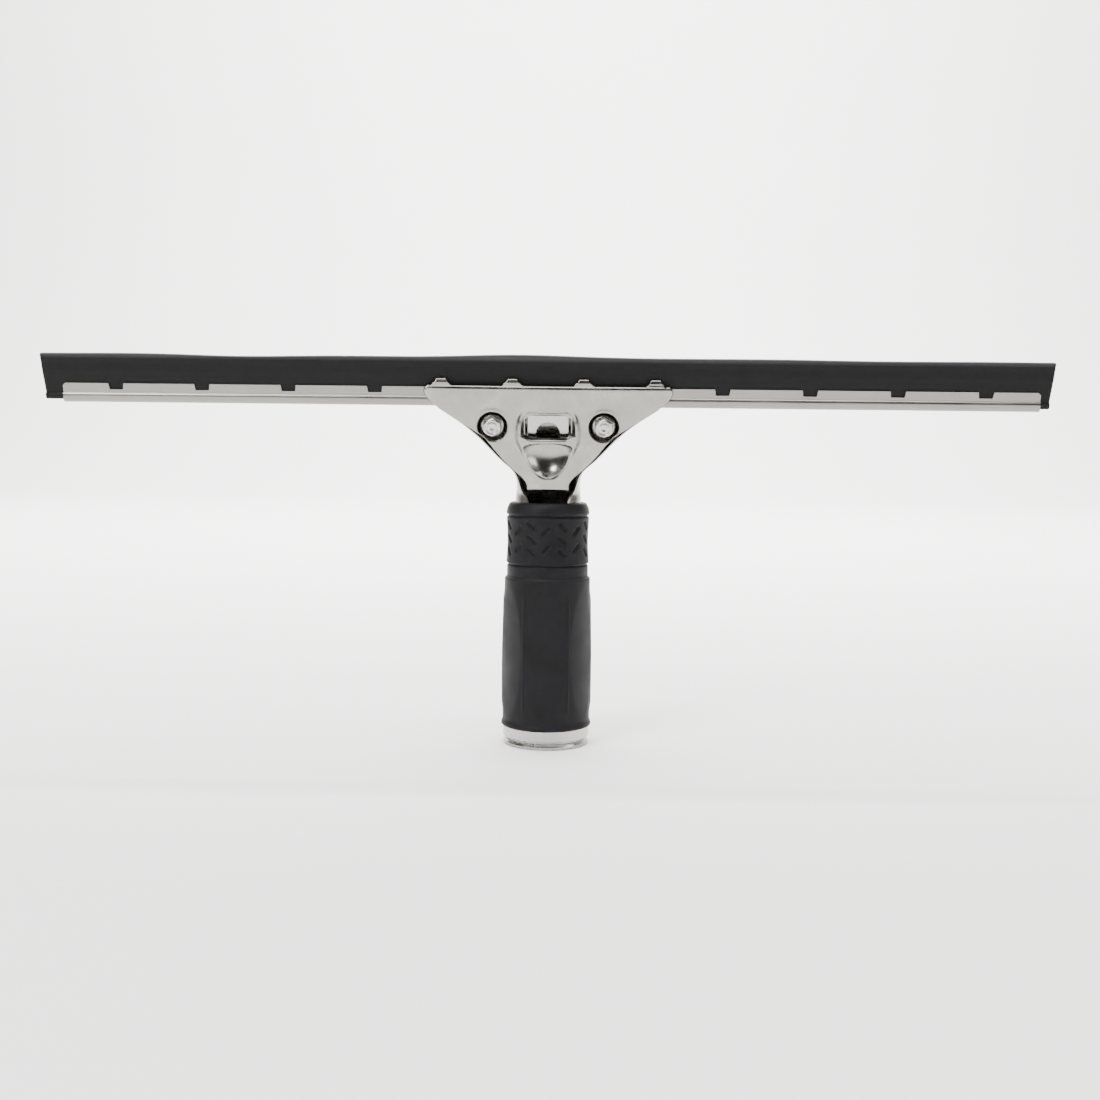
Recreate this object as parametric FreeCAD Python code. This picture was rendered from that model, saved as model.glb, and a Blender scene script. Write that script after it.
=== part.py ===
"""Window cleaning squeegee: clamp head, slide-in blade channel, rubber and gripped pole-socket handle.

Row frame, millimetres: origin at the centre of the handle's mouth, +Z up the handle, +X along the
blade, -Y out of the front. Head pieces are drawn in a plate frame (x, depth d, height w) whose origin
is on the front face just below the tab, then tilted forward and lifted onto the neck.
"""
import FreeCAD, Part
import math
import os

from FreeCAD import Vector

os.makedirs("parts", exist_ok=True)

# Overall sizes
channel_length = 444.0
head_width = 113.0
head_tilt = 18.0
handle_height = 115.4
tube_od = 29.0

# Sheet and strip thicknesses
jaw_t = 1.5
rear_t = 1.2
channel_t = 0.6
spring_t = 0.8
tube_t = 1.4
liner_t = 1.05
grip_wall = 6.5

# Named clearances
clamp_gap = 0.1
web_gap = 0.05
slip_gap = 0.1
press_gap = 0.05
rock_gap = 0.6
jaw_wall_gap = 0.3
bolt_gap = 0.15
tooth_gap = 0.15

# Blade: folded channel and rubber
bulb_depth = 6.6
lip_depth = 4.1
channel_height = 9.0
lip_height = 4.9
notch_pitch = 39.5
notch_count = int(channel_length / notch_pitch)
notch_width = 7.3
notch_height = 2.9
rubber_over = 6.3
rubber_flare = 0.7
rubber_shift = -2.0
rubber_above = 13.4
rubber_web = lip_depth - 2 * channel_t - 2 * web_gap
rubber_lip = 2.2

# Head plate layout, heights in the plate frame
tab_foot = 1.2
head_top = 49.5
jaw_top = head_top + 1.3
pivot_w = 31.7
bolt_x = 25.5
tooth_height = 3.3
tooth_base = 8.0
tooth_top = 4.1
tooth_pitch = 32.4
pan_top = 39.4

# Fasteners
bolt_r = 2.5
bolt_flats = 8.0
bolt_head_h = 3.5
dimple_r = 6.35
dimple_floor_r = 4.9
dimple_depth = 2.2

# Derived positions
mid_d = jaw_t + clamp_gap + bulb_depth / 2
plate_lap = 0.22
floor_front = mid_d + bulb_depth / 2 + clamp_gap + plate_lap
floor_back = floor_front + rear_t
channel_bottom = head_top - channel_height
tube_r = tube_od / 2
tube_in = tube_r - tube_t
sleeve_in = tube_r + slip_gap
neck_r = sleeve_in + rear_t
sleeve_r = neck_r + 0.2
liner_r = tube_in - press_gap
bore_r = liner_r - liner_t
head_y = -(neck_r - 4.0)
head_z = handle_height + 5.0
sleeve_z = handle_height - 33.6
tube_top = handle_height - 5.6
bore_depth = handle_height - 28.0
kx = head_width / 113.0
bolt_head_d = dimple_depth - rock_gap
seat_lift = 0.6
seat_front = floor_front - seat_lift
seat_back = floor_back + seat_lift
nut_d = seat_back + slip_gap / 2 + 1.0


def place(shape):
    """Tilt a head piece forward and set it on the neck."""
    out = shape.copy()
    out.rotate(Vector(0, 0, 0), Vector(1, 0, 0), head_tilt)
    out.translate(Vector(0, head_y, head_z))
    return out


def save(name, shape):
    clean = shape.removeSplitter()
    solids = clean.Solids
    if len(solids) == 1:
        clean = solids[0]
    clean.exportStep("parts/" + name + ".step")


def slab(corners, d0, d1):
    """Flat piece from (x, w) corners between two depths."""
    ring = [Vector(x, d0, w) for x, w in corners]
    face = Part.Face(Part.makePolygon(ring + ring[:1]))
    return face.extrude(Vector(0, d1 - d0, 0))


def strip(corners, x0, x1):
    """Piece from (d, w) corners run along the blade."""
    ring = [Vector(x0, d, w) for d, w in corners]
    face = Part.Face(Part.makePolygon(ring + ring[:1]))
    return face.extrude(Vector(x1 - x0, 0, 0))


def round_box(d0, d1, w0, w1, r, x0, x1):
    """Long bar with its four long edges rounded."""
    bar = Part.makeBox(x1 - x0, d1 - d0, w1 - w0, Vector(x0, d0, w0))
    edges = [e for e in bar.Edges if abs(e.Length - (x1 - x0)) < 1e-6]
    return bar.makeFillet(r, edges)


def side_shape(side, top_x, top_w, foot_w, d0, d1):
    """Plate whose two sides follow a smooth curve, straight across the top and foot."""
    right = Part.BSplineCurve()
    right.interpolate([Vector(x, d0, w) for x, w in side])
    left = Part.BSplineCurve()
    left.interpolate([Vector(-x, d0, w) for x, w in side])
    first = side[0]
    last = side[-1]
    ring = [right.toShape(), Part.makeLine(Vector(last[0], d0, last[1]), Vector(last[0], d0, foot_w))]
    ring.append(Part.makeLine(Vector(last[0], d0, foot_w), Vector(-last[0], d0, foot_w)))
    ring.append(Part.makeLine(Vector(-last[0], d0, foot_w), Vector(-last[0], d0, last[1])))
    ring.append(left.toShape())
    ring.append(Part.makeLine(Vector(-first[0], d0, first[1]), Vector(-top_x, d0, top_w)))
    ring.append(Part.makeLine(Vector(-top_x, d0, top_w), Vector(top_x, d0, top_w)))
    ring.append(Part.makeLine(Vector(top_x, d0, top_w), Vector(first[0], d0, first[1])))
    wire = Part.Wire(Part.__sortEdges__(ring))
    return Part.Face(wire).extrude(Vector(0, d1 - d0, 0))


def disc(r, d0, d1, x, w):
    """Round piece whose axis runs through the plates."""
    return Part.makeCylinder(r, d1 - d0, Vector(x, d0, w), Vector(0, 1, 0))


def spun(profile):
    """Solid of revolution about the handle's axis from (r, z) corners."""
    ring = [Vector(r, 0, z) for r, z in profile]
    face = Part.Face(Part.makePolygon(ring + ring[:1]))
    return face.revolve(Vector(0, 0, 0), Vector(0, 0, 1), 360)


# ---- Blade channel: one folded strip, a round bulb below and two lips above --------------------------
half = channel_length / 2
bulb_top = head_top - lip_height
bulb = round_box(mid_d - bulb_depth / 2, mid_d + bulb_depth / 2, channel_bottom, bulb_top + 0.9,
                 1.9, -half, half)
neck = Part.makeBox(channel_length, lip_depth, lip_height + 0.9,
                    Vector(-half, mid_d - lip_depth / 2, bulb_top - 0.9))
bulb_in = round_box(mid_d - bulb_depth / 2 + channel_t, mid_d + bulb_depth / 2 - channel_t,
                    channel_bottom + channel_t, bulb_top + 0.9 - channel_t, 1.3, -half - 1, half + 1)
slot = Part.makeBox(channel_length + 2, lip_depth - 2 * channel_t, lip_height + 4,
                    Vector(-half - 1, mid_d - lip_depth / 2 + channel_t, bulb_top - 2))
channel = bulb.fuse(neck).cut(bulb_in).cut(slot)
notches = []
for i in range(notch_count):
    x = (i - (notch_count - 1) / 2) * notch_pitch
    low = notch_width / 2 - 0.6
    corners = [(x - low, head_top - notch_height), (x + low, head_top - notch_height),
               (x + notch_width / 2, head_top + 1), (x - notch_width / 2, head_top + 1)]
    notches.append(slab(corners, mid_d - bulb_depth, mid_d + bulb_depth))
for s in (-1, 1):
    corners = [(s * (half + 1), head_top - 2.2), (s * (half + 1), head_top + 1),
               (s * (half - 2.2), head_top + 1)]
    notches.append(slab(corners, mid_d - bulb_depth, mid_d + bulb_depth))
channel = channel.cut(Part.makeCompound(notches))
save("channel", place(channel))

# ---- Rubber: bulb held in the channel, web between the lips, square-cut wiping edge ------------------
rubber_bulb_r = 1.2
bulb_half = bulb_depth / 2 - channel_t - web_gap
rubber_top = head_top + rubber_above
rubber_half = half + rubber_over + rubber_flare
rubber_ends = (rubber_shift - rubber_half, rubber_shift + rubber_half)
rubber = round_box(mid_d - bulb_half, mid_d + bulb_half, channel_bottom + channel_t + 0.6,
                   bulb_top - channel_t + 0.8, rubber_bulb_r, rubber_ends[0], rubber_ends[1])
web = [(mid_d - rubber_web / 2, bulb_top - 1.5), (mid_d + rubber_web / 2, bulb_top - 1.5),
       (mid_d + rubber_web / 2, head_top + 6.0), (mid_d + rubber_lip / 2, head_top + 9.0),
       (mid_d + rubber_lip / 2, rubber_top), (mid_d - rubber_lip / 2, rubber_top),
       (mid_d - rubber_lip / 2, head_top + 9.0), (mid_d - rubber_web / 2, head_top + 6.0)]
rubber = rubber.fuse(strip(web, rubber_ends[0], rubber_ends[1]))
for s in (-1, 1):
    foot_x = rubber_shift + s * (rubber_half - rubber_flare)
    lip_x = rubber_shift + s * rubber_half
    waste = [(foot_x, channel_bottom - 5), (foot_x, channel_bottom), (lip_x, rubber_top),
             (lip_x + 5 * s, rubber_top + 5), (lip_x + 5 * s, channel_bottom - 5)]
    rubber = rubber.cut(slab(waste, mid_d - 20, mid_d + 20))
save("rubber_blade", place(rubber))

# ---- Front jaw: stamped plate, rolled and toothed top, cups for the bolts, window, scoop and tab -----
jaw_half = head_width / 2
jaw_side = [(jaw_half, jaw_top - 2.9), (jaw_half - 0.9, jaw_top - 5.2), (50.6 * kx, 40.7),
            (44.2 * kx, 36.4), (37.1 * kx, 31.7), (29.6 * kx, 26.4), (23.7 * kx, 19.2), (19.9 * kx, 14.7),
            (15.8, 10.6), (12.1, 7.2), (10.0, 3.8), (9.7, tab_foot + 1.2)]
roll_d = mid_d - lip_depth / 2 - clamp_gap
jaw = side_shape(jaw_side, jaw_half - 2.0, jaw_top - 0.6, tab_foot, 0.0, jaw_t)
roll = round_box(0.0, roll_d, jaw_top - jaw_t, jaw_top, 0.7, -jaw_half + 2.0, jaw_half - 2.0)
jaw = jaw.fuse(roll)
tooth_front = 0.5
tooth_reach = mid_d - rubber_web / 2 - tooth_gap
for k in (-1.5, -0.5, 0.5, 1.5):
    x = k * tooth_pitch
    tip = jaw_top + tooth_height
    lobe = strip([(tooth_front, jaw_top - 0.8), (tooth_front + jaw_t, jaw_top - 0.8),
                  (tooth_reach - 0.6, tip - 1.5), (tooth_reach, tip - 1.2),
                  (tooth_reach, tip), (tooth_reach - 1.4, tip)], x - tooth_base, x + tooth_base)
    shield = slab([(x - tooth_base / 2, jaw_top - 1), (x + tooth_base / 2, jaw_top - 1),
                   (x + tooth_top / 2, tip + 1), (x - tooth_top / 2, tip + 1)], -5, 12)
    jaw = jaw.fuse(lobe.common(shield))
boss_lift = 1.0
boss_half = 13.0
boss = Part.makeBox(2 * boss_half, boss_lift + jaw_t, 15.4, Vector(-boss_half, -boss_lift, 24.0))
boss = boss.makeFillet(4.0, [e for e in boss.Edges if abs(e.Length - boss_lift - jaw_t) < 1e-6])
boss = boss.makeFillet(0.9, [e for e in boss.Edges if e.BoundBox.YMax < -boss_lift + 0.01])
bar = round_box(0.0, 3.2, 24.0, 26.9, 1.0, -10.8, 10.8)
scoop_centre = FreeCAD.Matrix()
scoop_centre.move(Vector(0, -0.6, 21.0))


def scoop(grow):
    """Shallow egg-shaped bowl, optionally grown by the sheet's thickness."""
    m = FreeCAD.Matrix()
    m.scale(Vector(12.2 + grow, 4.6 + grow, 14.0 + grow))
    return Part.makeSphere(1.0).transformGeometry(scoop_centre.multiply(m))


backing = scoop(jaw_t - 0.1).common(Part.makeBox(60, 20, 30, Vector(-30, 0.0, -4.0)).cut(
    Part.makeBox(60, 20, 10, Vector(-30, 0.0, 25.2))))
hollow = scoop(0.0).common(Part.makeBox(60, 40, 40, Vector(-30, -20, -16.6)))
jaw = jaw.fuse(boss).fuse(backing)
window_half = 10.4
window = Part.makeBox(2 * window_half, 12, 10.0, Vector(-window_half, -6, 26.9))
window = window.makeFillet(2.2, [e for e in window.Edges if abs(e.Length - 12) < 1e-6])
jaw = jaw.cut(hollow).cut(window).fuse(bar)
for s in (-1, 1):
    cup = Part.makeCone(dimple_r + 1.4, dimple_floor_r + 1.0, dimple_depth + jaw_t,
                        Vector(s * bolt_x, 0, pivot_w), Vector(0, 1, 0))
    dish = Part.makeCone(dimple_r, dimple_floor_r, dimple_depth,
                         Vector(s * bolt_x, 0, pivot_w), Vector(0, 1, 0))
    jaw = jaw.fuse(cup).cut(dish).cut(disc(bolt_r + 0.8, -5, 20, s * bolt_x, pivot_w))
save("front_jaw", place(jaw))

# ---- Rear plate: pan behind the jaw running down into a round sleeve over the handle tube ------------
section_points = 33


def c_ring(tilt, y, z, half_x, half_y, power, gap, wall):
    """Open-fronted section of the sheet: outer curve, front lip, inner curve, front lip."""
    a = math.radians(tilt)
    curves = []
    for inset in (0.0, wall):
        wide = half_x - inset * (1.35 if power > 3 else 1.0)
        deep = half_y - inset
        points = []
        for i in range(section_points):
            t = math.radians(gap - 90 + (360 - 2 * gap) * i / (section_points - 1))
            px = wide * math.copysign(abs(math.cos(t)) ** (2 / power), math.cos(t))
            py = deep * math.copysign(abs(math.sin(t)) ** (2 / power), math.sin(t))
            points.append(Vector(px, y + py * math.cos(a), z + py * math.sin(a)))
        curve = Part.BSplineCurve()
        curve.interpolate(points)
        curves.append((curve.toShape(), points[0], points[-1]))
    outside, inside = curves
    lips = [Part.makeLine(outside[2], inside[2]), Part.makeLine(inside[1], outside[1])]
    return Part.Wire([outside[0], lips[0], inside[0], lips[1]])


pan_front = jaw_t + jaw_wall_gap
back_reach = neck_r * 1.63
pan = [
    (0.0, neck_r - 0.8, -1.5, back_reach - 0.3, 2.6, 52),
    (7.2, neck_r + 0.6, 0.9, floor_back + 11.4, 3.4, 60),
    (12.5, 21.0 * kx, pan_front - 0.4, floor_back + 7.4, 4.2, 61),
    (19.2, 26.9 * kx, pan_front - 0.6, floor_back + 3.4, 5.2, 62),
    (24.5, max(31.5 * kx, bolt_x + 5.0), pan_front - 0.6, floor_back + 1.0, 6.2, 62),
    (29.8, max(37.1 * kx, bolt_x + 10.6), pan_front - 0.6, floor_back + 0.1, 7.2, 62),
    (35.5, 44.7 * kx, pan_front - 0.6, floor_back, 8.0, 62),
    (pan_top, 50.4 * kx, pan_front - 0.6, floor_back, 8.0, 62),
]
wires = []
for z, gap in ((handle_height - 4.5, 34), (handle_height - 2.25, 35), (handle_height, 36)):
    wires.append(c_ring(0, 0, z, neck_r - 0.2, neck_r - 0.2, 2.0, gap, rear_t - 0.4))
lean = math.radians(head_tilt)
for w, half_x, front, back, power, gap in pan:
    d = (front + back) / 2
    y = head_y + d * math.cos(lean) - w * math.sin(lean)
    z = head_z + d * math.sin(lean) + w * math.cos(lean)
    wires.append(c_ring(head_tilt, y, z, half_x, (back - front) / 2, power, gap, rear_t))
rear = Part.makeLoft(wires, True, False)
rear_half = jaw_half + 0.6
plate_side = [(rear_half, jaw_top - 3.4), (rear_half - 1.2, jaw_top - 5.4), (rear_half - 4.9, jaw_top - 9.2),
              (48.0 * kx, pan_top - 1.4)]
plate = side_shape(plate_side, rear_half - 1.6, jaw_top - 0.4, pan_top - 3.2, floor_front - plate_lap,
                   floor_back + plate_lap)
rear_roll = round_box(mid_d + lip_depth / 2 + clamp_gap, floor_back, jaw_top - rear_t, jaw_top, 0.55,
                      -rear_half + 1.8, rear_half - 1.8)
sleeve = spun([(sleeve_in, sleeve_z), (sleeve_r, sleeve_z), (sleeve_r, handle_height - 1.6),
               (sleeve_in, handle_height - 1.6)])
rear = rear.fuse(place(plate)).fuse(place(rear_roll)).fuse(sleeve)
for s in (-1, 1):
    pad = place(disc(5.9, seat_front, seat_back, s * bolt_x, pivot_w))
    hole = place(disc(bolt_r + bolt_gap, -5, 25, s * bolt_x, pivot_w))
    spot_face = place(disc(6.2, seat_back, seat_back + 3.0, s * bolt_x, pivot_w))
    rear = rear.fuse(pad).cut(spot_face).cut(hole)
rivet_z = handle_height - 19.0
rivet_r = 2.0
rivet_cut = Part.makeCylinder(rivet_r + press_gap, 6 * neck_r,
                              Vector(-3 * neck_r, 0, rivet_z), Vector(1, 0, 0))
save("rear_plate", rear.cut(rivet_cut))

# ---- Handle tube, mouth ferrule, liner for the extension pole and the plug above it -------------------
ferrule_spigot = 3.0
ferrule_h = 8.7
tube = spun([(tube_in, 2.0), (tube_r, 2.0), (tube_r, tube_top), (tube_in, tube_top)])
save("handle_tube", tube.cut(rivet_cut))
mouth_r = liner_r + press_gap
rim = tube_r + grip_wall - 0.7
ferrule = [(mouth_r, 0.0), (rim - 0.9, 0.0), (rim - 0.25, 0.4), (rim, 1.3), (rim - 0.25, 2.2),
           (rim - 0.8, 2.7), (rim - 1.2, 2.9), (rim - 1.2, 3.3), (rim - 0.2, 3.6), (rim + 0.2, 4.0),
           (rim + 0.2, ferrule_h), (tube_r + 2.6, ferrule_h), (tube_r + 2.6, ferrule_h + ferrule_spigot),
           (tube_r + slip_gap, ferrule_h + ferrule_spigot), (tube_r + slip_gap, 2.0 - slip_gap),
           (mouth_r, 2.0 - slip_gap)]
save("mouth_ferrule", spun(ferrule))
liner = spun([(bore_r, 0.0), (liner_r, 0.0), (liner_r, bore_depth), (bore_r, bore_depth)])
save("socket_liner", liner)
plug_h = 5.0
plug = spun([(0.0, bore_depth + slip_gap), (liner_r, bore_depth + slip_gap),
             (liner_r, bore_depth + plug_h - 0.8), (liner_r - 0.8, bore_depth + plug_h),
             (0.0, bore_depth + plug_h)])
save("socket_plug", plug)

# ---- Grip: moulded sleeve with a knurled neck band, soft six-sided palm and a flared foot -------------
grip_foot = ferrule_h + slip_gap
step_z = handle_height - 35.4
band_z = handle_height - 29.5
collar_z = handle_height - 6.5
body_mid = (grip_foot + step_z) / 2
palm_r = tube_r + grip_wall
grip_profile = [
    (tube_r + slip_gap, grip_foot), (palm_r, grip_foot), (palm_r + 0.5, grip_foot + 0.6),
    (palm_r + 0.5, grip_foot + 1.8), (palm_r - 0.2, grip_foot + 3.0), (palm_r - 0.15, grip_foot + 8.0),
    (palm_r, body_mid - 14.0), (palm_r - 0.05, body_mid), (palm_r - 0.4, body_mid + 18.0),
    (palm_r - 0.7, step_z - 0.5), (palm_r - 1.1, step_z), (palm_r - 1.7, step_z + 0.2),
    (palm_r - 1.7, band_z - 0.2), (palm_r - 2.3, band_z), (palm_r - 2.3, band_z + 0.6),
    (palm_r - 1.4, band_z + 0.9), (palm_r - 1.7, band_z + 6.0), (palm_r - 1.9, band_z + 11.5),
    (palm_r - 1.7, collar_z - 6.0), (palm_r - 1.4, collar_z - 0.4), (palm_r - 2.2, collar_z),
    (palm_r - 2.2, collar_z + 0.5), (palm_r - 1.4, collar_z + 0.9), (palm_r - 1.3, collar_z + 1.8),
    (palm_r - 1.5, collar_z + 3.6), (palm_r - 3.1, collar_z + 6.5), (tube_r + slip_gap, collar_z + 6.5)]
grip = spun(grip_profile)
panel_r = 45.0
panel_depth = 1.6
panel_fade = 0.265 * handle_height
panel_off = panel_r - (palm_r - panel_depth)
reach = handle_height * 0.7
sag = panel_depth * (reach / panel_fade) ** 2
for k in range(6):
    arc = Part.Arc(Vector(panel_r + sag, 0, body_mid - reach), Vector(panel_r, 0, body_mid),
                   Vector(panel_r + sag, 0, body_mid + reach)).toShape()
    ring = [Vector(panel_r + sag, 0, body_mid + reach), Vector(0, 0, body_mid + reach),
            Vector(0, 0, body_mid - reach), Vector(panel_r + sag, 0, body_mid - reach)]
    wire = Part.Wire([arc] + Part.makePolygon(ring).Edges)
    waist = Part.Face(wire).revolve(Vector(0, 0, 0), Vector(0, 0, 1), 360)
    waist.translate(Vector(0, panel_off, 0))
    waist.rotate(Vector(0, 0, 0), Vector(0, 0, 1), 60 * k)
    grip = grip.common(waist)
sleeve_room = spun([(0.0, sleeve_z - slip_gap), (sleeve_r + slip_gap, sleeve_z - slip_gap),
                    (sleeve_r + slip_gap, handle_height + 5), (0.0, handle_height + 5)])
spigot_room = spun([(0.0, 0.0), (tube_r + 2.6 + slip_gap, 0.0),
                    (tube_r + 2.6 + slip_gap, ferrule_h + ferrule_spigot + slip_gap),
                    (0.0, ferrule_h + ferrule_spigot + slip_gap)])
rivet_head_r = 3.6
rivet_head_h = 1.0
pocket = Part.makeCylinder(rivet_head_r + 0.3, 2 * (sleeve_r + rivet_head_h + 0.3),
                           Vector(-sleeve_r - rivet_head_h - 0.3, 0, rivet_z), Vector(1, 0, 0))
grip = grip.cut(sleeve_room).cut(spigot_room).cut(pocket)
mark_rows = {1: (0.28, 0.55, 0.82), -1: (0.37, 0.73)}
marks = []
band_h = collar_z - band_z
for k in range(16):
    lean = 1 if k % 2 else -1
    for row in mark_rows[lean]:
        mark = Part.makeBox(6.0, 3.0, 1.9, Vector(-3.0, -1.5, -0.95))
        mark = mark.makeFillet(0.9, [e for e in mark.Edges if abs(e.Length - 3.0) < 1e-6])
        mark.rotate(Vector(0, 0, 0), Vector(0, 1, 0), 45 * lean)
        mark.translate(Vector(0, -(palm_r - 1.1), band_z + row * band_h))
        mark.rotate(Vector(0, 0, 0), Vector(0, 0, 1), 22.5 * k)
        marks.append(mark)
grip = grip.cut(Part.makeCompound(marks))
save("grip_sleeve", grip)

# ---- Neck rivets pinning the sleeve to the tube ------------------------------------------------------
for s, name in ((-1, "left_neck_rivet"), (1, "right_neck_rivet")):
    shank_in = tube_in - 0.6
    outward = Vector(s, 0, 0)
    shank = Part.makeCylinder(rivet_r, sleeve_r + 0.4 - shank_in, Vector(s * shank_in, 0, rivet_z), outward)
    tail = Part.makeCylinder(rivet_r + 0.9, 0.8, Vector(s * (tube_in - 1.0), 0, rivet_z), outward)
    room = Part.makeCylinder(tube_in - 0.02, 20, Vector(0, 0, rivet_z - 10), Vector(0, 0, 1))
    head = Part.makeCylinder(rivet_head_r, 8.0, Vector(s * (sleeve_r - 0.4), 0, rivet_z), outward)
    head = head.cut(Part.makeCylinder(sleeve_r + 0.02, 20, Vector(0, 0, rivet_z - 10), Vector(0, 0, 1)))
    face = Part.makeCylinder(sleeve_r + rivet_head_h, 20, Vector(0, 0, rivet_z - 10), Vector(0, 0, 1))
    head = head.common(face)
    save(name, shank.fuse(tail.common(room)).fuse(head))

# ---- Bow spring: strip that pushes the tab out and shows through the window ---------------------------
spring_half = 9.6
back_d = floor_front - slip_gap / 2 - spring_t / 2
tab_d = jaw_t + slip_gap + spring_t / 2
line = [(mid_d - 1.6, 38.4), (mid_d - 1.6, 32.4), (mid_d - 0.6, 29.4), (back_d - 0.4, 26.2), (back_d, 24.4),
        (back_d, 17.4), (back_d - 0.5, 15.6), (tab_d + 0.4, 6.2), (tab_d, 5.0), (tab_d, tab_foot + 0.6),
        (tab_d + 0.5, tab_foot - 0.8), (tab_d + 2.0, tab_foot - 2.4)]


def side_of(points, offset):
    """Points of a bent strip's face, moved off its mid line."""
    out = []
    for i, (d, w) in enumerate(points):
        a = points[max(i - 1, 0)]
        b = points[min(i + 1, len(points) - 1)]
        run = math.hypot(b[0] - a[0], b[1] - a[1])
        out.append((d + offset * (a[1] - b[1]) / run, w + offset * (b[0] - a[0]) / run))
    return out


spring = strip(side_of(line, spring_t / 2) + side_of(line, -spring_t / 2)[::-1], -spring_half, spring_half)
spring = spring.cut(disc(5.6, -10, 20, 0, 27.6)).cut(disc(4.0, -10, 20, 0, tab_foot - 2.6))
save("bow_spring", place(spring))

# ---- Jaw bolts with spacer, washer and lock nut ------------------------------------------------------
nut_h = 4.0
for s, side in ((-1, "left"), (1, "right")):
    x = s * bolt_x
    corner = bolt_flats / math.sqrt(3)
    turns = [math.radians(60 * i + 30) for i in range(6)]
    hexagon = [(x + corner * math.cos(t), pivot_w + corner * math.sin(t)) for t in turns]
    head = slab(hexagon, bolt_head_d - bolt_head_h, bolt_head_d)
    dome = Part.makeCone(bolt_flats / 2 - 0.5, bolt_flats / 2 + 1.9, 1.4,
                         Vector(x, bolt_head_d - bolt_head_h, pivot_w), Vector(0, 1, 0))
    dome = dome.fuse(disc(bolt_flats / 2 + 1.9, bolt_head_d - bolt_head_h + 1.4, bolt_head_d, x, pivot_w))
    tip = nut_d + nut_h + 0.8
    bolt = head.common(dome).fuse(disc(bolt_r, bolt_head_d - 0.5, tip, x, pivot_w))
    save(side + "_jaw_bolt", place(bolt))
    spacer_d = dimple_depth + jaw_t + 0.9
    bolt_hole = disc(bolt_r + bolt_gap, 0, 20, x, pivot_w)
    spacer = disc(4.4, spacer_d, seat_front - slip_gap / 2, x, pivot_w).cut(bolt_hole)
    save(side + "_spacer", place(spacer))
    washer = disc(5.0, seat_back + slip_gap / 2, nut_d - slip_gap / 2, x, pivot_w)
    save(side + "_washer", place(washer.cut(bolt_hole)))
    nut = slab(hexagon, nut_d, nut_d + nut_h)
    crown = Part.makeCone(bolt_flats / 2 + 1.9, bolt_flats / 2 - 0.2, 1.6,
                          Vector(x, nut_d + nut_h - 1.6, pivot_w), Vector(0, 1, 0))
    crown = crown.fuse(disc(bolt_flats / 2 + 1.9, nut_d, nut_d + nut_h - 1.6, x, pivot_w))
    nut = nut.common(crown).cut(disc(bolt_r + 0.02, 0, 30, x, pivot_w))
    save(side + "_lock_nut", place(nut))
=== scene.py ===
"""Looks of the window squeegee: handle, clamp head, spring and blade, on a pale studio floor."""
import bmesh
import bpy
import math
from mathutils import Matrix, Vector


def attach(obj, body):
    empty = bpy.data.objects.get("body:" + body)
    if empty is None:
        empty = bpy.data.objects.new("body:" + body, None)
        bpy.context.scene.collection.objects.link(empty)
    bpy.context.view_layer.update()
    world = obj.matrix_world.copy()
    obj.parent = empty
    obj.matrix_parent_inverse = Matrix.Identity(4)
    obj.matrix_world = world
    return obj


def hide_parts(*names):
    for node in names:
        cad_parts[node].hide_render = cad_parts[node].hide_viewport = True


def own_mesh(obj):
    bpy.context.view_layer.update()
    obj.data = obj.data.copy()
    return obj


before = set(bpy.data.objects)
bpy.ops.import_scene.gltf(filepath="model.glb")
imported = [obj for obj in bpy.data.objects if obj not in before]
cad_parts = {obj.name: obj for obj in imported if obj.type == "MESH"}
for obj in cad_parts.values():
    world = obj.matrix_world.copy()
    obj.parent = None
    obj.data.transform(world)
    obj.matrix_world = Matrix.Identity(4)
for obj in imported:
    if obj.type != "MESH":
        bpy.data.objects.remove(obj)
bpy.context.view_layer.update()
MM = 0.001


# ---- Pole socket: tube, liner and plug -------------------------------------------------------------
# An extruded aluminium tube runs through the grip. A black nylon liner pressed into it takes the cone
# of an extension pole, and a nylon plug above the liner stops it.
def linear(code):
    """Linear colour of an sRGB hex value."""
    parts = [int(code[i:i + 2], 16) / 255 for i in (0, 2, 4)]
    return [c / 12.92 if c <= 0.04045 else ((c + 0.055) / 1.055) ** 2.4 for c in parts] + [1.0]


def add(tree, kind, settings=None, feeds=None):
    """One node with its settings, and its sockets given a value or the socket that feeds them."""
    made = tree.nodes.new(kind)
    for key, value in (settings or {}).items():
        setattr(made, key, value)
    for key, value in (feeds or {}).items():
        if isinstance(value, bpy.types.NodeSocket):
            tree.links.new(value, made.inputs[key])
        else:
            made.inputs[key].default_value = value
    return made


def new_material(name, **constants):
    """A new material: its tree, the object coordinate socket and the shader with its constants set."""
    material = bpy.data.materials.new(name)
    material.use_nodes = True
    tree = material.node_tree
    shader = tree.nodes["Principled BSDF"]
    for key, value in constants.items():
        shader.inputs[key.replace("_", " ")].default_value = value
    where = add(tree, "ShaderNodeTexCoord").outputs["Object"]
    return material, tree, where, shader


def grain(tree, where, size_mm, detail=2.0, stretch=(1, 1, 1)):
    """Noise whose blobs are about size_mm across, squeezed by stretch along each axis."""
    scaled = add(tree, "ShaderNodeMapping", None, {"Vector": where, "Scale": stretch}).outputs[0]
    return add(tree, "ShaderNodeTexNoise", None,
               {"Vector": scaled, "Scale": 1 / (size_mm * MM), "Detail": detail}).outputs[0]


def spread(tree, value, low, high, start=0.3, stop=0.7):
    """Value remapped so that start..stop, by default the middle of a noise, becomes low..high."""
    return add(tree, "ShaderNodeMapRange", None,
               {"Value": value, "From Min": start, "From Max": stop,
                "To Min": low, "To Max": high}).outputs[0]


def tint(tree, value, first, second):
    """Colour from first, an sRGB hex value or a socket, to second by a 0..1 value."""
    begin = linear(first) if isinstance(first, str) else first
    return add(tree, "ShaderNodeMix", {"data_type": "RGBA"},
               {0: value, 6: begin, 7: linear(second)}).outputs[2]


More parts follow.
